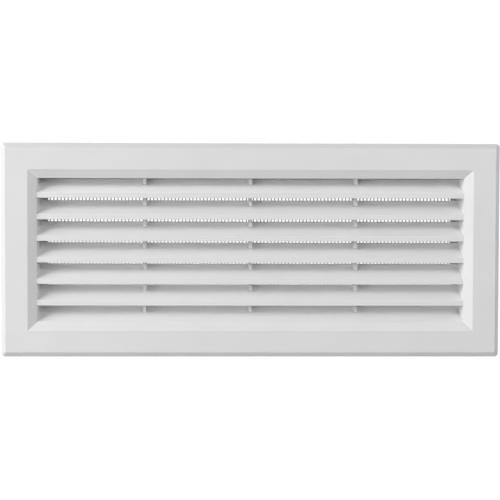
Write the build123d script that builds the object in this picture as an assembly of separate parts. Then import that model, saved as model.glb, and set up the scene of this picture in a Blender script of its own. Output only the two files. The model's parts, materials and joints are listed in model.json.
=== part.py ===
from build123d import *
import os

from math import radians, sin

# A wall grille for air: a moulded cover frame with fixed Z-section louvres, a rear collar that
# enters the wall opening, an insect screen with its retainer, and a sprung wire arm on each side.
# Frame: +X right, +Y into the wall, +Z up. The wall's surface is the plane Y = 0, and the origin
# is the middle of the air window on it. All sizes are in millimetres.

# Cover frame
OVERALL_WIDTH = 280.0
OVERALL_HEIGHT = 120.0
FRAME_DEPTH = 7.0
CORNER_RADIUS = 2.0
FACE_CORNER_RADIUS = 0.6
EDGE_ROUND = 0.35
EDGE_BEVEL_WIDTH = 2.8
EDGE_BEVEL_DEPTH = 2.8
FACE_THICKNESS = 2.0
SKIRT_THICKNESS = 2.0
RECESS_WIDTH = 4.7
RECESS_DEPTH = 2.5
INNER_LAND = 1.5
INNER_RING = 6.5
REAR_RIB_THICKNESS = 1.2
REAR_RIB_SPACING = 35.0
REAR_RIB_SETBACK = 1.0
RIBS_EACH_SIDE_OF_MIDDLE = 3

# Louvres
BLADE_COUNT = 6
BLADE_PITCH = 12.1
TOP_GAP = 8.2
WINDOW_WIDTH = 240.0
LIP_HEIGHT = 2.95
LIP_THICKNESS = 1.6
WEB_RUN = 10.5
WEB_RISE = 6.05
WEB_THICKNESS = 1.6
UPSTAND_HEIGHT = 1.9
UPSTAND_THICKNESS = 1.4
LIP_TOP_ROUND = 0.4
LIP_EDGE_ROUND = 0.2
INNER_ROUND = 0.4
FOOT_ROUND = 2.5
SILL_TIP = 0.25

# Mullions
MULLION_COUNT = 3
MULLION_THICKNESS = 1.7
MULLION_LEAD = 2.0
TOOTH_REACH = 2.6
MULLION_SPINE = 1.4

# Collar
COLLAR_THICKNESS = 2.0
COLLAR_REACH = 14.0
COLLAR_LEAD_IN = 0.8

# Insect screen and its retainer
SCREEN_GAP = 0.1
SCREEN_THICKNESS = 0.5
SCREEN_MARGIN = 0.3
RETAINER_CLEARANCE = 0.7
RETAINER_BAR = 2.9
RETAINER_DEPTH = 2.2
NIB_LENGTH = 6.0
NIB_CLEARANCE = 0.1
NIB_DEPTH = 1.4
NIB_X = 80.0
NIB_Z = 20.0
TAB_WIDTH = 12.0
TAB_THICKNESS = 1.6
TAB_REACH = 4.0

# Sprung arms
PIVOT_OFFSET = 3.2
PIVOT_Y = 7.5
PIN_RADIUS = 1.25
PIN_FIT = 0.02
PIN_HEAD_RADIUS = 2.2
PIN_HEAD_HEIGHT = 1.2
PIN_END = 1.4
LUG_INNER_Z = 11.0
LUG_THICKNESS = 2.5
LUG_RADIUS = 3.0
WIRE_RADIUS = 0.6
COIL_RADIUS = 2.2
COIL_TURNS = 3
COIL_TURN_PITCH = 1.12
COIL_START_Z = 7.9
COIL_LEG = 5.5
ARM_EYE_Z = 6.4
ARM_LENGTH = 25.0
ARM_TOE = 6.0
ARM_TOE_OFFSET = 3.0
ARM_BEND_RADIUS = 2.5
ARM_REST_ANGLE = 25.0
REST_PAD_WIDTH = 3.0

# Worked-out places
WINDOW_HEIGHT = TOP_GAP + BLADE_COUNT * BLADE_PITCH
HALF_WINDOW_X = WINDOW_WIDTH / 2
HALF_WINDOW_Z = WINDOW_HEIGHT / 2
FACE_Y = -FRAME_DEPTH
NOSE_Y = FACE_Y + RECESS_DEPTH
LAND_Y = NOSE_Y + INNER_LAND
WEB_SLOPE = WEB_RISE / WEB_RUN
BLADE_DEPTH = WEB_RUN + UPSTAND_THICKNESS
SPINE_REAR_Y = NOSE_Y + BLADE_DEPTH + MULLION_SPINE
SCREEN_Y = SPINE_REAR_Y + SCREEN_GAP
RETAINER_Y = SCREEN_Y + SCREEN_THICKNESS
COLLAR_OUTER_X = HALF_WINDOW_X + COLLAR_THICKNESS
COLLAR_OUTER_Z = HALF_WINDOW_Z + COLLAR_THICKNESS
PIVOT_X = COLLAR_OUTER_X + PIVOT_OFFSET
MULLION_SPACING = WINDOW_WIDTH / (MULLION_COUNT + 1)


def slab(x_low, x_high, y_low, y_high, z_low, z_high):
    """A rectangular block between six planes."""
    block = Box(x_high - x_low, y_high - y_low, z_high - z_low)
    middle = ((x_low + x_high) / 2, (y_low + y_high) / 2, (z_low + z_high) / 2)
    return Pos(*middle) * block


def centred_slab(half_x, y_low, y_high, half_z):
    """A block centred on the window, between two depths."""
    return slab(-half_x, half_x, y_low, y_high, -half_z, half_z)


def facing_room(y):
    """The plane at depth y that faces the room."""
    return Plane((0, y, 0), x_dir=(1, 0, 0), z_dir=(0, -1, 0))


def rectangle_at(y, half_x, half_z):
    """A rectangle centred on the window at depth y."""
    return facing_room(y) * Rectangle(2 * half_x, 2 * half_z)


def rounded_rectangle_at(y, half_x, half_z, radius):
    """A rectangle with rounded corners, centred on the window at depth y."""
    return facing_room(y) * RectangleRounded(2 * half_x, 2 * half_z, radius)


def along_x(profile, x_low, x_high):
    """Extrude a face drawn in depth and height along X."""
    return Pos(x_low, 0, 0) * extrude(profile, amount=x_high - x_low, dir=(1, 0, 0))


def depth_profile(points):
    """A face from (depth, height) points, in the plane X = 0."""
    return Plane.YZ * Polygon(*points, align=None)


def front_frame():
    """The cover frame: bevelled outer edge, flat face, sunk window surround, hollow back."""
    half_x = OVERALL_WIDTH / 2
    half_z = OVERALL_HEIGHT / 2
    bevel_y = FACE_Y + EDGE_BEVEL_DEPTH
    face_x = half_x - EDGE_BEVEL_WIDTH
    face_z = half_z - EDGE_BEVEL_WIDTH
    outline = rounded_rectangle_at(bevel_y, half_x, half_z, CORNER_RADIUS)
    face_outline = rounded_rectangle_at(FACE_Y, face_x, face_z, FACE_CORNER_RADIUS)
    body = extrude(outline, amount=-bevel_y, dir=(0, 1, 0)) + loft([outline, face_outline], ruled=True)

    recess = loft([
        rectangle_at(FACE_Y, HALF_WINDOW_X + RECESS_WIDTH, HALF_WINDOW_Z + RECESS_WIDTH),
        rectangle_at(NOSE_Y, HALF_WINDOW_X, HALF_WINDOW_Z),
    ])
    window = centred_slab(HALF_WINDOW_X, FACE_Y, LAND_Y, HALF_WINDOW_Z)
    body -= recess
    body -= window
    body = fillet(rounded_edges(body), EDGE_ROUND)

    skirt_x = half_x - SKIRT_THICKNESS
    skirt_z = half_z - SKIRT_THICKNESS
    inner = centred_slab(HALF_WINDOW_X + INNER_RING, FACE_Y, LAND_Y, HALF_WINDOW_Z + INNER_RING)
    behind_ring = centred_slab(skirt_x, LAND_Y, 0, skirt_z)
    behind_face = centred_slab(skirt_x, FACE_Y + FACE_THICKNESS, LAND_Y, skirt_z)
    body -= behind_ring
    body -= behind_face - inner
    return body + rear_ribs(skirt_x, skirt_z)


def rounded_edges(body):
    """The edges round the flat face, round the window, and between the bevel and the side."""
    on_face = body.edges().filter_by_position(Axis.Y, FACE_Y, FACE_Y)
    on_window = body.edges().filter_by_position(Axis.Y, NOSE_Y, NOSE_Y)
    bevel_y = FACE_Y + EDGE_BEVEL_DEPTH
    on_side = body.edges().filter_by_position(Axis.Y, bevel_y, bevel_y)
    return on_face + on_window + on_side


def rear_ribs(skirt_x, skirt_z):
    """Thin ribs behind the face, from the collar's walls out to the skirt."""
    half = REAR_RIB_THICKNESS / 2
    y_low = FACE_Y + FACE_THICKNESS
    y_high = -REAR_RIB_SETBACK
    ribs = []
    for step in range(-RIBS_EACH_SIDE_OF_MIDDLE, RIBS_EACH_SIDE_OF_MIDDLE + 1):
        x = step * REAR_RIB_SPACING
        ribs.append(slab(x - half, x + half, y_low, y_high, COLLAR_OUTER_Z, skirt_z))
        ribs.append(slab(x - half, x + half, y_low, y_high, -skirt_z, -COLLAR_OUTER_Z))
    for z in (-REAR_RIB_SPACING, 0, REAR_RIB_SPACING):
        ribs.append(slab(COLLAR_OUTER_X, skirt_x, y_low, y_high, z - half, z + half))
        ribs.append(slab(-skirt_x, -COLLAR_OUTER_X, y_low, y_high, z - half, z + half))
    return ribs


def web_underside(depth):
    """Height of the web's lower surface, from the top of the blade's lip."""
    return WEB_SLOPE * depth - WEB_THICKNESS


def blade_profile():
    """Z-section: a lip in front, a web that rises inwards, an upstand at the rear."""
    top = WEB_RISE + UPSTAND_HEIGHT
    face = depth_profile([
        (0, 0),
        (WEB_RUN, WEB_RISE),
        (WEB_RUN, top),
        (BLADE_DEPTH, top),
        (BLADE_DEPTH, web_underside(BLADE_DEPTH)),
        (LIP_THICKNESS, web_underside(LIP_THICKNESS)),
        (LIP_THICKNESS, -LIP_HEIGHT),
        (0, -LIP_HEIGHT),
    ])
    face = rounded_corner(face, 0, 0, LIP_TOP_ROUND)
    face = rounded_corner(face, 0, -LIP_HEIGHT, LIP_EDGE_ROUND)
    face = rounded_corner(face, LIP_THICKNESS, -LIP_HEIGHT, LIP_EDGE_ROUND)
    face = rounded_corner(face, LIP_THICKNESS, web_underside(LIP_THICKNESS), INNER_ROUND)
    return rounded_corner(face, WEB_RUN, WEB_RISE, FOOT_ROUND)


def rounded_corner(face, depth, height, radius):
    """A profile with its corner at that depth and height rounded."""
    corner = face.vertices().sort_by_distance((0, depth, height))[0]
    return fillet(corner, radius)


def sill_profile():
    """The lowest blade: it starts on the frame's land, has no lip, and stands on the collar."""
    top = WEB_RISE + UPSTAND_HEIGHT
    face = depth_profile([
        (SILL_TIP / WEB_SLOPE, 0),
        (SILL_TIP / WEB_SLOPE, SILL_TIP),
        (WEB_RUN, WEB_RISE),
        (WEB_RUN, top),
        (BLADE_DEPTH, top),
        (BLADE_DEPTH, 0),
        (WEB_RUN, 0),
        (WEB_RUN, web_underside(WEB_RUN)),
        (WEB_THICKNESS / WEB_SLOPE, 0),
    ])
    return rounded_corner(face, WEB_RUN, WEB_RISE, FOOT_ROUND)


def lip_top(index):
    """Height of the top of a blade's lip, counted from 1 at the top."""
    return HALF_WINDOW_Z - TOP_GAP - (index - 1) * BLADE_PITCH


def louvre_blade(index):
    """One blade, from cheek to cheek, no higher than the window."""
    blade = Pos(0, NOSE_Y, lip_top(index)) * along_x(blade_profile(), -HALF_WINDOW_X, HALF_WINDOW_X)
    blade_top = lip_top(index) + WEB_RISE + UPSTAND_HEIGHT
    if blade_top > HALF_WINDOW_Z:
        blade &= centred_slab(HALF_WINDOW_X, NOSE_Y, COLLAR_REACH, HALF_WINDOW_Z)
    return blade


def sill_blade():
    """The blade on the window's lower edge."""
    return Pos(0, NOSE_Y, -HALF_WINDOW_Z) * along_x(sill_profile(), -HALF_WINDOW_X, HALF_WINDOW_X)


def tooth_profile():
    """A mullion's tooth: it hangs under the web above, and stops short of the web below."""
    root = WEB_RUN - MULLION_LEAD
    tip = root - TOOTH_REACH
    inside_web = BLADE_PITCH + WEB_THICKNESS / 2
    return depth_profile([
        (tip, WEB_SLOPE * root),
        (root, WEB_SLOPE * root),
        (root, web_underside(root) + inside_web),
        (tip, web_underside(tip) + inside_web),
    ])


def mullion(x, blades):
    """An upright comb: a spine behind the upstands, with a tooth in the gap over each blade."""
    half = MULLION_THICKNESS / 2
    front_y = NOSE_Y + WEB_RUN - MULLION_LEAD
    plate = slab(x - half, x + half, front_y, SPINE_REAR_Y, -HALF_WINDOW_Z, HALF_WINDOW_Z)
    for index in range(1, BLADE_COUNT + 2):
        plate += Pos(0, NOSE_Y, lip_top(index)) * along_x(tooth_profile(), x - half, x + half)
    plate &= centred_slab(HALF_WINDOW_X, NOSE_Y, SPINE_REAR_Y, HALF_WINDOW_Z)
    for blade in blades:
        plate -= blade
    return plate.solids().sort_by(SortBy.VOLUME)[-1]


def collar_wall(side):
    """The collar's upper (side 1) or lower (side -1) wall, between the cheeks."""
    z_low, z_high = sorted((side * HALF_WINDOW_Z, side * COLLAR_OUTER_Z))
    wall = slab(-HALF_WINDOW_X, HALF_WINDOW_X, LAND_Y, COLLAR_REACH, z_low, z_high)
    return lead_in(wall)


def lead_in(wall):
    """A collar wall with its outer rear edges bevelled, so that it enters the opening easily."""
    rear = wall.faces().sort_by(Axis.Y)[-1]
    outer = [edge for edge in rear.edges() if is_outer(edge.center())]
    return chamfer(outer, COLLAR_LEAD_IN)


def is_outer(point):
    """True for a point on the outside of the collar."""
    beyond_x = abs(abs(point.X) - COLLAR_OUTER_X)
    beyond_z = abs(abs(point.Z) - COLLAR_OUTER_Z)
    return min(beyond_x, beyond_z) < COLLAR_LEAD_IN / 2


def lug(side, level):
    """An ear on a cheek's outer face, with the hole for the spring's pin."""
    z_low, z_high = sorted((level * LUG_INNER_Z, level * (LUG_INNER_Z + LUG_THICKNESS)))
    x_low, x_high = sorted((side * COLLAR_OUTER_X, side * PIVOT_X))
    body = slab(x_low, x_high, PIVOT_Y - LUG_RADIUS, PIVOT_Y + LUG_RADIUS, z_low, z_high)
    middle = Pos(side * PIVOT_X, PIVOT_Y, (z_low + z_high) / 2)
    body += middle * Cylinder(LUG_RADIUS, LUG_THICKNESS)
    return body - middle * Cylinder(PIN_RADIUS + PIN_FIT, 2 * LUG_THICKNESS)


def rest_pad(side, level):
    """A low pad on the cheek, under the fixed leg of a spring coil."""
    middle = level * coil_end_z()
    height = PIVOT_OFFSET - COIL_RADIUS - WIRE_RADIUS
    x_low, x_high = sorted((side * COLLAR_OUTER_X, side * (COLLAR_OUTER_X + height)))
    y_low = PIVOT_Y + LUG_RADIUS
    half = REST_PAD_WIDTH / 2
    return slab(x_low, x_high, y_low, PIVOT_Y + COIL_LEG, middle - half, middle + half)


def cheek(side):
    """The collar's right (side 1) or left (side -1) wall, with the lugs for the sprung arm."""
    x_low, x_high = sorted((side * HALF_WINDOW_X, side * COLLAR_OUTER_X))
    body = lead_in(slab(x_low, x_high, LAND_Y, COLLAR_REACH, -COLLAR_OUTER_Z, COLLAR_OUTER_Z))
    for level in (1, -1):
        body += lug(side, level)
        body += rest_pad(side, level)
    return body


def insect_screen():
    """The screen as a thin sheet inside the collar, against the mullions."""
    half_x = HALF_WINDOW_X - SCREEN_MARGIN
    half_z = HALF_WINDOW_Z - SCREEN_MARGIN
    return centred_slab(half_x, SCREEN_Y, RETAINER_Y, half_z)


def screen_retainer():
    """A barred frame that holds the screen, with nibs that grip the collar and two pull tabs."""
    half_x = HALF_WINDOW_X - RETAINER_CLEARANCE
    half_z = HALF_WINDOW_Z - RETAINER_CLEARANCE
    rear = RETAINER_Y + RETAINER_DEPTH
    inner_z = half_z - RETAINER_BAR
    body = centred_slab(half_x, RETAINER_Y, rear, half_z)
    body -= centred_slab(half_x - RETAINER_BAR, RETAINER_Y, rear, inner_z)
    half_bar = MULLION_THICKNESS / 2
    for x in mullion_places():
        body += slab(x - half_bar, x + half_bar, RETAINER_Y, rear, -inner_z, inner_z)

    body += retainer_nibs(half_x, half_z)

    half_tab = TAB_WIDTH / 2
    for z_low in (inner_z, -inner_z - TAB_THICKNESS):
        body += slab(-half_tab, half_tab, rear, rear + TAB_REACH, z_low, z_low + TAB_THICKNESS)
    return body


def retainer_nibs(rim_x, rim_z):
    """Low blocks on the retainer's rim that grip the collar."""
    half = NIB_LENGTH / 2
    rear = RETAINER_Y + NIB_DEPTH
    reach_x = HALF_WINDOW_X - NIB_CLEARANCE
    reach_z = HALF_WINDOW_Z - NIB_CLEARANCE
    bars = [slab(x - half, x + half, RETAINER_Y, rear, -reach_z, reach_z) for x in (-NIB_X, 0, NIB_X)]
    bars += [slab(-reach_x, reach_x, RETAINER_Y, rear, z - half, z + half) for z in (-NIB_Z, NIB_Z)]
    inside = centred_slab(rim_x, RETAINER_Y, rear, rim_z)
    return [bar - inside for bar in bars]


def mullion_places():
    """X of each mullion, from left to right."""
    middle = (MULLION_COUNT - 1) / 2
    return [(index - middle) * MULLION_SPACING for index in range(MULLION_COUNT)]


def spring_pin(side):
    """The headed pin through both lugs of one cheek."""
    top = LUG_INNER_Z + LUG_THICKNESS
    length = 2 * top + PIN_END
    shank = Pos(0, 0, top - length / 2) * Cylinder(PIN_RADIUS, length)
    shank = chamfer(shank.edges().sort_by(Axis.Z)[0], PIN_RADIUS / 3)
    head = Pos(0, 0, top + PIN_HEAD_HEIGHT / 2) * Cylinder(PIN_HEAD_RADIUS, PIN_HEAD_HEIGHT)
    head = fillet(head.edges().sort_by(Axis.Z)[-1], PIN_HEAD_HEIGHT / 2)
    return Pos(side * PIVOT_X, PIVOT_Y, 0) * (shank + head)


def coil_end_z():
    """Height of the coil turn that is nearest to the lug."""
    return COIL_START_Z + (COIL_TURNS - 1) * COIL_TURN_PITCH


def spring_coil(side, level):
    """Close turns of spring wire round the pin, with a straight leg that bears on the cheek."""
    turns = Sketch()
    for turn in range(COIL_TURNS):
        turns += Pos(COIL_RADIUS, COIL_START_Z + turn * COIL_TURN_PITCH) * Circle(WIRE_RADIUS)
    coil = revolve(Plane.XZ * turns, Axis.Z)
    start = Plane((-side * COIL_RADIUS, 0, coil_end_z()), z_dir=(0, 1, 0))
    leg = extrude(start * Circle(WIRE_RADIUS), amount=COIL_LEG)
    spring = coil + leg
    if level < 0:
        spring = mirror(spring, about=Plane.XY)
    return Pos(side * PIVOT_X, PIVOT_Y, 0) * spring


def spring_coils(side):
    """Both coils of one sprung arm."""
    return Compound([spring_coil(side, 1).solid(), spring_coil(side, -1).solid()])


def spring_arm(side):
    """A loop of spring wire with an eye on the pin at each end and a toe at its tip."""
    root_x = -side * COIL_RADIUS
    toe_x = -side * (COIL_RADIUS + ARM_TOE_OFFSET)
    toe_y = ARM_LENGTH + ARM_TOE
    route = FilletPolyline(
        (root_x, 0, ARM_EYE_Z),
        (root_x, ARM_LENGTH, ARM_EYE_Z),
        (toe_x, toe_y, ARM_EYE_Z),
        (toe_x, toe_y, -ARM_EYE_Z),
        (root_x, ARM_LENGTH, -ARM_EYE_Z),
        (root_x, 0, -ARM_EYE_Z),
        radius=ARM_BEND_RADIUS,
    )
    start = Plane((root_x, 0, ARM_EYE_Z), z_dir=(0, 1, 0))
    arm = sweep(start * Circle(WIRE_RADIUS), path=route)
    for level in (1, -1):
        arm += Pos(0, 0, level * ARM_EYE_Z) * Torus(COIL_RADIUS, WIRE_RADIUS)
    return Pos(side * PIVOT_X, PIVOT_Y, 0) * Rot(0, 0, -side * ARM_REST_ANGLE) * arm


def build_nodes():
    """Every piece of the grille, by name."""
    blades = {f"louvre_blade_{index}": louvre_blade(index) for index in range(1, BLADE_COUNT + 1)}
    blades["sill_blade"] = sill_blade()
    nodes = {"front_frame": front_frame(), **blades}
    nodes["collar_top"] = collar_wall(1)
    nodes["collar_bottom"] = collar_wall(-1)
    for name, x in zip(("left", "centre", "right"), mullion_places()):
        nodes[f"mullion_{name}"] = mullion(x, blades.values())
    nodes["insect_screen"] = insect_screen()
    nodes["screen_retainer"] = screen_retainer()
    for name, side in (("left", -1), ("right", 1)):
        nodes[f"cheek_{name}"] = cheek(side)
        nodes[f"spring_pin_{name}"] = spring_pin(side)
        nodes[f"spring_coils_{name}"] = spring_coils(side)
        nodes[f"spring_arm_{name}"] = spring_arm(side)
    return nodes


os.makedirs("parts", exist_ok=True)
arm_reach = PIVOT_X + (ARM_LENGTH + ARM_TOE) * sin(radians(ARM_REST_ANGLE))
print(f"window {WINDOW_WIDTH} x {WINDOW_HEIGHT:.1f} mm, arm reach within {arm_reach:.1f} mm")
for node, shape in build_nodes().items():
    export_step(shape, f"parts/{node}.step")
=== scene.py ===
import json
import math

import bmesh
import bpy
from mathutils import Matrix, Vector


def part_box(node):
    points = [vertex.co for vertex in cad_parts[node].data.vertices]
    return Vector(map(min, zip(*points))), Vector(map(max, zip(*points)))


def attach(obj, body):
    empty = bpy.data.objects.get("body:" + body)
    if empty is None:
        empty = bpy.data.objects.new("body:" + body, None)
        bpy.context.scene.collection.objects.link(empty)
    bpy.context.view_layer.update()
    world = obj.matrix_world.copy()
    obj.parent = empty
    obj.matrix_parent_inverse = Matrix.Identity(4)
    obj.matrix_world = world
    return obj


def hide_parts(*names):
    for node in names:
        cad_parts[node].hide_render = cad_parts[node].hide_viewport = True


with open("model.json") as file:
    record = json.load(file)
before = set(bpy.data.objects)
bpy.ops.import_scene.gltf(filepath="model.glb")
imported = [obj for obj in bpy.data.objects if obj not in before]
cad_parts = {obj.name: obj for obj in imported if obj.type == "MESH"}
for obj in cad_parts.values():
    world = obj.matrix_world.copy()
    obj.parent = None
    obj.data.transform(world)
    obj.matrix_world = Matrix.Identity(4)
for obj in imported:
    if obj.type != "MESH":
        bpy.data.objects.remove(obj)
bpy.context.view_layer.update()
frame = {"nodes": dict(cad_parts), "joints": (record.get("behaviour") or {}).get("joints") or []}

MM = 0.001
NODES = frame["nodes"]

# Camera: its distance from the front of the louvres and its place beside and above the middle in
# metres, its angles in degrees, its focal length in millimetres
CAMERA_DISTANCE = 0.488
CAMERA_X = -0.0232
CAMERA_Z = 0.025
CAMERA_YAW = 0.7
CAMERA_PITCH = 1.4
CAMERA_ROLL = -0.12
FOCAL_LENGTH = 62.62
SHIFT_X = 0.0595
SHIFT_Y = -0.0461
CLIP_START = 0.01

# Light
WHITE_BACKGROUND = 1.05
LEFT_GLOW = 0.393
LIGHT_DISTANCE = 1.2
LIGHT_SIZE = 0.6

# Soft boxes: degrees to the right of the front, degrees up, power in watts
SOFT_BOXES = {
    "left_high": (-60, 25, 8.59),
    "left_low": (-60, 0, 2.74),
    "left_front": (-42, 0, 1.03),
    "right_front": (30, 20, 4.95),
    "right_side": (84, 10, 3.03),
    "back": (180, 20, 7.20),
}

# Floor
FLOOR_Z = -0.33
FLOOR_RADIUS = 0.5
FLOOR_FADE = 0.2
FLOOR_SIDES = 64
FLOOR_COLOUR = (0.8, 0.8, 0.8)
FLOOR_ROUGHNESS = 0.8

# Plastics: colour, roughness, size and depth of the grain
FRAME_PLASTIC = ((0.87, 0.87, 0.87), 0.42, 0.38 * MM, 0.004 * MM)
LOUVRE_PLASTIC = ((0.90, 0.90, 0.90), 0.38, 0.45 * MM, 0.003 * MM)
COLLAR_PLASTIC = ((0.88, 0.88, 0.88), 0.46, 0.30 * MM, 0.006 * MM)
# The retainer's colour is darker than the other plastics: that extra darkness is painted shade for the
# shadow it stands in behind the blades.
RETAINER_PLASTIC_PAINTED_SHADE = ((0.74, 0.74, 0.74), 0.50, 0.30 * MM, 0.006 * MM)
NET_PLASTIC = ((0.62, 0.62, 0.61), 0.45, 0.15 * MM, 0.006 * MM)
PLASTIC_IOR = 1.49
SHADE_VARIATION = 0.015
GLOSS_VARIATION = 0.08
LOUVRE_FLOW = 0.2
GRAIN_STRENGTH = 0.5
SINK_STRENGTH = 0.05
SINK_DEPTH = 0.1 * MM

# Steels: darkest and palest colour, roughness, and how the marks stretch along X, Y and Z
PIN_STEEL = ((0.50, 0.50, 0.47), (0.66, 0.66, 0.65), 0.34, (1, 1, 0.08))
SPRING_STEEL = ((0.42, 0.41, 0.39), (0.60, 0.60, 0.58), 0.26, (1, 0.08, 1))
STEEL_GLOSS_VARIATION = 0.25
MARK_STRENGTH = 0.3
MARK_DEPTH = 0.02 * MM

# Noise textures: scale and detail, and the two values between which most of a texture lies
MOTTLE_NOISE = (45.0, 4.0)
SINK_NOISE = (160.0, 2.0)
MARK_NOISE = (2400.0, 3.0)
STAIN_NOISE = (260.0, 4.0)
GRAIN_DETAIL = 2.0
NOISE_LOW = 0.3
NOISE_HIGH = 0.7

# Insect screen
NET_PITCH = 2.05 * MM
NET_COLUMNS = 116
NET_ROWS = 39
STRAND_WIDTH = 0.70 * MM
STRAND_DEPTH = 0.33 * MM
STRAND_SIDES = 6
STRAND_LIFT = 0.06 * MM
CROSSING_SWELL = 1.12

# Spring coils
COIL_TURNS = 2
POINTS_PER_TURN = 24
WIRE_RADIUS = 0.57 * MM
CAD_WIRE_RADIUS = 0.6 * MM
COIL_CLEARANCE = 0.3 * MM

# Moulded edges of the pieces behind the cover frame; edges sharper than this many degrees are rounded
REAR_EDGE_ROUND = 0.15 * MM
SHARP_EDGE = 50
WELD_DISTANCE = 0.001 * MM

X_AXIS, Y_AXIS, Z_AXIS = range(3)


def node_tree(name):
    """A new material with its Principled shader."""
    material = bpy.data.materials.new(name)
    material.use_nodes = True
    tree = material.node_tree
    return material, tree, tree.nodes["Principled BSDF"]


def add(tree, kind, **values):
    """A node with its properties or unlinked inputs set."""
    node = tree.nodes.new(kind)
    for key, value in values.items():
        if key in node.inputs:
            node.inputs[key].default_value = value
        else:
            setattr(node, key, value)
    return node


def noise(tree, vector, scale, detail):
    """A noise texture over coordinates in metres."""
    texture = add(tree, "ShaderNodeTexNoise")
    texture.inputs["Scale"].default_value = scale
    texture.inputs["Detail"].default_value = detail
    tree.links.new(vector, texture.inputs["Vector"])
    return texture.outputs["Fac"]


def spread(tree, value, low, high):
    """A noise value mapped to low..high."""
    node = add(tree, "ShaderNodeMapRange")
    node.inputs["From Min"].default_value = NOISE_LOW
    node.inputs["From Max"].default_value = NOISE_HIGH
    node.inputs["To Min"].default_value = low
    node.inputs["To Max"].default_value = high
    tree.links.new(value, node.inputs["Value"])
    return node.outputs["Result"]


def shade_between(tree, value, dark, pale):
    """A colour that runs from dark to pale with a noise value."""
    ramp = add(tree, "ShaderNodeValToRGB")
    low, high = ramp.color_ramp.elements
    low.position = NOISE_LOW
    low.color = (*dark, 1)
    high.position = NOISE_HIGH
    high.color = (*pale, 1)
    tree.links.new(value, ramp.inputs["Fac"])
    return ramp.outputs["Color"]


def stretched(tree, place, stretch):
    """Coordinates scaled along each axis; a noise in them is drawn out where the scale is small."""
    mapping = add(tree, "ShaderNodeMapping")
    mapping.inputs["Scale"].default_value = stretch
    tree.links.new(place, mapping.inputs["Vector"])
    return mapping.outputs["Vector"]


def moulded_plastic(name, colour, roughness, grain_size, grain_depth, flow=1.0):
    """Satin moulded plastic: spark-eroded grain, shallow sink marks, faint mottling of shade and gloss.

    flow below 1 draws the mottling out along X, the way the melt ran into a long thin piece.
    """
    material, tree, shader = node_tree(name)
    place = add(tree, "ShaderNodeTexCoord").outputs["Object"]
    along_flow = stretched(tree, place, (flow, 1, 1))
    mottle = noise(tree, along_flow, *MOTTLE_NOISE)
    sink = noise(tree, along_flow, *SINK_NOISE)
    grain = noise(tree, place, 1 / grain_size, GRAIN_DETAIL)

    dark = [level * (1 - SHADE_VARIATION) for level in colour]
    pale = [level * (1 + SHADE_VARIATION) for level in colour]
    tree.links.new(shade_between(tree, mottle, dark, pale), shader.inputs["Base Color"])
    gloss = spread(tree, sink, roughness * (1 - GLOSS_VARIATION), roughness * (1 + GLOSS_VARIATION))
    tree.links.new(gloss, shader.inputs["Roughness"])
    shader.inputs["IOR"].default_value = PLASTIC_IOR

    fine = add(tree, "ShaderNodeBump", Strength=GRAIN_STRENGTH, Distance=grain_depth)
    broad = add(tree, "ShaderNodeBump", Strength=SINK_STRENGTH, Distance=SINK_DEPTH)
    tree.links.new(grain, fine.inputs["Height"])
    tree.links.new(sink, broad.inputs["Height"])
    tree.links.new(fine.outputs["Normal"], broad.inputs["Normal"])
    tree.links.new(broad.outputs["Normal"], shader.inputs["Normal"])
    return material


def steel(name, dark, pale, roughness, stretch):
    """Bare or plated steel: stained in patches, with fine marks drawn out along one axis."""
    material, tree, shader = node_tree(name)
    place = add(tree, "ShaderNodeTexCoord").outputs["Object"]
    marks = noise(tree, stretched(tree, place, stretch), *MARK_NOISE)
    stain = noise(tree, place, *STAIN_NOISE)
    tree.links.new(shade_between(tree, stain, dark, pale), shader.inputs["Base Color"])
    least = roughness * (1 - STEEL_GLOSS_VARIATION)
    most = roughness * (1 + STEEL_GLOSS_VARIATION)
    tree.links.new(spread(tree, marks, least, most), shader.inputs["Roughness"])
    shader.inputs["Metallic"].default_value = 1.0
    bump = add(tree, "ShaderNodeBump", Strength=MARK_STRENGTH, Distance=MARK_DEPTH)
    tree.links.new(marks, bump.inputs["Height"])
    tree.links.new(bump.outputs["Normal"], shader.inputs["Normal"])
    return material


def paint(material, *names):
    """Gives CAD nodes a material."""
    for name in names:
        NODES[name].data.materials.clear()
        NODES[name].data.materials.append(material)


def round_edges(*names):
    """Rounds the moulded edges of CAD nodes with modifiers; their meshes stay as they are."""
    for name in names:
        weld = NODES[name].modifiers.new("weld", "WELD")
        weld.merge_threshold = WELD_DISTANCE
        bevel = NODES[name].modifiers.new("edge_round", "BEVEL")
        bevel.width = REAR_EDGE_ROUND
        bevel.segments = 2
        bevel.angle_limit = math.radians(SHARP_EDGE)
        bevel.harden_normals = True


def add_piece(name, mesh, material, body, node):
    """A new piece that stands for a CAD node."""
    piece = bpy.data.objects.new(name, mesh)
    bpy.context.scene.collection.objects.link(piece)
    mesh.materials.clear()
    mesh.materials.append(material)
    mesh.shade_smooth()
    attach(piece, body)
    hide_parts(node)


def strand_rings(low, high, count):
    """Places of the rings along a strand, each with its swell: one at every crossing and one between."""
    rings = [(low, 1.0)]
    for step in range(2 * count + 1):
        place = (step - count) * NET_PITCH / 2
        rings.append((place, 1.0 if step % 2 else CROSSING_SWELL))
    rings.append((high, 1.0))
    return rings


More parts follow.
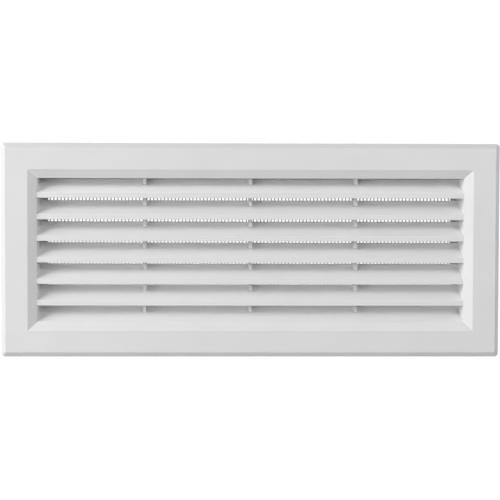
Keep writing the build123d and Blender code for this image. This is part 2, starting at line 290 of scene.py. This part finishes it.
def strands(name, along, across, rings, offsets, depth):
    """A mesh of parallel strands made of oval rings, at the given offsets and all at one depth."""
    points = []
    faces = []
    turns = [2 * math.pi * (side + 0.5) / STRAND_SIDES for side in range(STRAND_SIDES)]
    for offset in offsets:
        for place, swell in rings:
            for turn in turns:
                point = Vector()
                point[Y_AXIS] = depth + math.sin(turn) * swell * STRAND_DEPTH / 2
                point[along] = place
                point[across] = offset + math.cos(turn) * swell * STRAND_WIDTH / 2
                points.append(point)
        last = len(points) - STRAND_SIDES
        first = len(points) - STRAND_SIDES * len(rings)
        for ring in range(first, last, STRAND_SIDES):
            for side in range(STRAND_SIDES):
                here = ring + side
                beside = ring + (side + 1) % STRAND_SIDES
                faces.append((here, beside, beside + STRAND_SIDES, here + STRAND_SIDES))
        faces.append(range(first, first + STRAND_SIDES))
        faces.append(range(last, last + STRAND_SIDES))
    mesh = bpy.data.meshes.new(name)
    mesh.from_pydata(points, [], faces)
    shape = bmesh.new()
    shape.from_mesh(mesh)
    bmesh.ops.recalc_face_normals(shape, faces=shape.faces)
    shape.to_mesh(mesh)
    shape.free()
    return mesh


def screen_net(material):
    """The insect screen as two layers of crossing strands, in place of the plain CAD sheet."""
    low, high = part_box("insect_screen")
    middle = (low.y + high.y) / 2
    columns = [(column - NET_COLUMNS / 2) * NET_PITCH for column in range(NET_COLUMNS + 1)]
    rows = [(row - NET_ROWS / 2) * NET_PITCH for row in range(NET_ROWS + 1)]
    rings = strand_rings(low.z, high.z, NET_ROWS)
    mesh = strands("net_uprights", Z_AXIS, X_AXIS, rings, columns, middle - STRAND_LIFT)
    add_piece("net_uprights", mesh, material, "screen", "insect_screen")
    rings = strand_rings(low.x, high.x, NET_COLUMNS)
    mesh = strands("net_crossbars", X_AXIS, Z_AXIS, rings, rows, middle + STRAND_LIFT)
    add_piece("net_crossbars", mesh, material, "screen", "insect_screen")


def coil_route(pivot, side, level, radius, bottom, top, leg_end_y):
    """Points of one coil: a helix along the pin from bottom to top, then a straight leg inwards."""
    steps = COIL_TURNS * POINTS_PER_TURN
    route = []
    for step in range(steps + 1):
        turn = 2 * math.pi * (step - steps) / POINTS_PER_TURN
        x = pivot.x - side * radius * math.cos(turn)
        y = pivot.y + radius * math.sin(turn)
        route.append((x, y, level * (bottom + (top - bottom) * step / steps)))
    route.append((pivot.x - side * radius, leg_end_y, level * top))
    return route


def spring_coils(name, side, material):
    """Both wound coils of one sprung arm, in place of the plain CAD rings."""
    node = f"spring_coils_{name}"
    low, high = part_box(node)
    joint = next(joint for joint in frame["joints"] if joint["name"] == f"{name}_arm_fold")
    pivot = Vector(joint["pos_m"])
    outer = high.x - pivot.x if side > 0 else pivot.x - low.x
    radius = outer - CAD_WIRE_RADIUS
    arm_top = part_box(f"spring_arm_{name}")[1].z
    bottom = arm_top + COIL_CLEARANCE + CAD_WIRE_RADIUS
    top = high.z - CAD_WIRE_RADIUS
    curve = bpy.data.curves.new(node, "CURVE")
    curve.dimensions = "3D"
    curve.bevel_depth = WIRE_RADIUS
    curve.bevel_resolution = 3
    curve.use_fill_caps = True
    for level in (1, -1):
        route = coil_route(pivot, side, level, radius, bottom, top, high.y)
        spline = curve.splines.new("POLY")
        spline.points.add(len(route) - 1)
        for point, place in zip(spline.points, route):
            point.co = (*place, 1)
    drawn = bpy.data.objects.new(node, curve)
    mesh = bpy.data.meshes.new_from_object(drawn)
    bpy.data.objects.remove(drawn)
    add_piece(f"wound_{node}", mesh, material, "grille", node)


def soft_box(name, azimuth, elevation, power):
    """A square area light that faces the grille from a direction given in degrees."""
    data = bpy.data.lights.new(name, "AREA")
    data.shape = "SQUARE"
    data.size = LIGHT_SIZE
    data.energy = power
    lamp = bpy.data.objects.new(name, data)
    across = math.radians(azimuth)
    up = math.radians(elevation)
    towards = Vector((math.sin(across) * math.cos(up), -math.cos(across) * math.cos(up), math.sin(up)))
    lamp.location = towards * LIGHT_DISTANCE
    lamp.rotation_euler = towards.to_track_quat("Z", "Y").to_euler()
    bpy.context.scene.collection.objects.link(lamp)


def floor():
    """A pale floor below the grille that fades out towards its edge."""
    mesh = bpy.data.meshes.new("floor")
    turns = [2 * math.pi * side / FLOOR_SIDES for side in range(FLOOR_SIDES)]
    rim = [(FLOOR_RADIUS * math.cos(turn), FLOOR_RADIUS * math.sin(turn), FLOOR_Z) for turn in turns]
    mesh.from_pydata(rim, [], [range(FLOOR_SIDES)])
    disc = bpy.data.objects.new("floor", mesh)
    bpy.context.scene.collection.objects.link(disc)
    material, tree, shader = node_tree("floor")
    shader.inputs["Base Color"].default_value = (*FLOOR_COLOUR, 1)
    shader.inputs["Roughness"].default_value = FLOOR_ROUGHNESS
    place = add(tree, "ShaderNodeTexCoord").outputs["Object"]
    flatten = add(tree, "ShaderNodeVectorMath", operation="MULTIPLY")
    flatten.inputs[1].default_value = (1, 1, 0)
    tree.links.new(place, flatten.inputs[0])
    distance = add(tree, "ShaderNodeVectorMath", operation="LENGTH")
    tree.links.new(flatten.outputs["Vector"], distance.inputs[0])
    fade = add(tree, "ShaderNodeMapRange", interpolation_type="SMOOTHSTEP")
    fade.inputs["From Min"].default_value = FLOOR_RADIUS - FLOOR_FADE
    fade.inputs["From Max"].default_value = FLOOR_RADIUS
    tree.links.new(distance.outputs["Value"], fade.inputs["Value"])
    clear = add(tree, "ShaderNodeBsdfTransparent")
    chosen = add(tree, "ShaderNodeMixShader")
    tree.links.new(fade.outputs["Result"], chosen.inputs["Fac"])
    tree.links.new(shader.outputs[0], chosen.inputs[1])
    tree.links.new(clear.outputs[0], chosen.inputs[2])
    tree.links.new(chosen.outputs[0], tree.nodes["Material Output"].inputs["Surface"])
    mesh.materials.append(material)


def studio_world():
    """A weak soft glow from the left, and a white background that gives no light."""
    world = bpy.data.worlds.new("studio")
    bpy.context.scene.world = world
    world.use_nodes = True
    tree = world.node_tree
    light = tree.nodes["Background"]
    light.inputs["Color"].default_value = (1, 1, 1, 1)
    direction = add(tree, "ShaderNodeTexCoord").outputs["Generated"]
    split = add(tree, "ShaderNodeSeparateXYZ")
    tree.links.new(direction, split.inputs["Vector"])
    leftward = add(tree, "ShaderNodeMath", operation="MULTIPLY", use_clamp=True)
    leftward.inputs[1].default_value = -1
    tree.links.new(split.outputs["X"], leftward.inputs[0])
    square = add(tree, "ShaderNodeMath", operation="POWER")
    square.inputs[1].default_value = 2
    tree.links.new(leftward.outputs[0], square.inputs[0])
    glow = add(tree, "ShaderNodeMath", operation="MULTIPLY")
    glow.inputs[1].default_value = LEFT_GLOW
    tree.links.new(square.outputs[0], glow.inputs[0])
    tree.links.new(glow.outputs[0], light.inputs["Strength"])

    white = add(tree, "ShaderNodeBackground", Color=(1, 1, 1, 1), Strength=WHITE_BACKGROUND)
    rays = add(tree, "ShaderNodeLightPath")
    chosen = add(tree, "ShaderNodeMixShader")
    tree.links.new(rays.outputs["Is Camera Ray"], chosen.inputs["Fac"])
    tree.links.new(light.outputs[0], chosen.inputs[1])
    tree.links.new(white.outputs[0], chosen.inputs[2])
    tree.links.new(chosen.outputs[0], tree.nodes["World Output"].inputs["Surface"])


def camera():
    """The camera, a little above the middle and to its left, aimed by its angles and shift."""
    data = bpy.data.cameras.new("camera")
    data.lens = FOCAL_LENGTH
    data.shift_x = SHIFT_X
    data.shift_y = SHIFT_Y
    data.clip_start = CLIP_START
    eye = bpy.data.objects.new("camera", data)
    nose_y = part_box("louvre_blade_3")[0].y
    eye.location = (CAMERA_X, nose_y - CAMERA_DISTANCE, CAMERA_Z)
    turn = (90 - CAMERA_PITCH, CAMERA_ROLL, -CAMERA_YAW)
    eye.rotation_euler = [math.radians(angle) for angle in turn]
    bpy.context.scene.collection.objects.link(eye)
    bpy.context.scene.camera = eye


louvres = [name for name in NODES if "blade" in name or "mullion" in name]
mullions = [name for name in NODES if "mullion" in name]
collar = [name for name in NODES if name.startswith(("collar", "cheek"))]
paint(moulded_plastic("frame_plastic", *FRAME_PLASTIC), "front_frame")
paint(moulded_plastic("louvre_plastic", *LOUVRE_PLASTIC, flow=LOUVRE_FLOW), *louvres)
paint(moulded_plastic("collar_plastic", *COLLAR_PLASTIC), *collar)
# The screen retainer gets a darker copy of the moulded plastic: painted shade for the shadow behind the
# blades.
paint(moulded_plastic("retainer_plastic", *RETAINER_PLASTIC_PAINTED_SHADE), "screen_retainer")
round_edges(*collar, *mullions, "screen_retainer")
screen_net(moulded_plastic("net_plastic", *NET_PLASTIC))

pin_steel = steel("pin_steel", *PIN_STEEL)
spring_steel = steel("spring_steel", *SPRING_STEEL)
for name, side in (("left", -1), ("right", 1)):
    paint(pin_steel, f"spring_pin_{name}")
    paint(spring_steel, f"spring_arm_{name}")
    spring_coils(name, side, spring_steel)

for light_name, (azimuth, elevation, power) in SOFT_BOXES.items():
    soft_box(light_name, azimuth, elevation, power)
floor()
studio_world()
camera()
bpy.context.scene.view_settings.view_transform = "Standard"
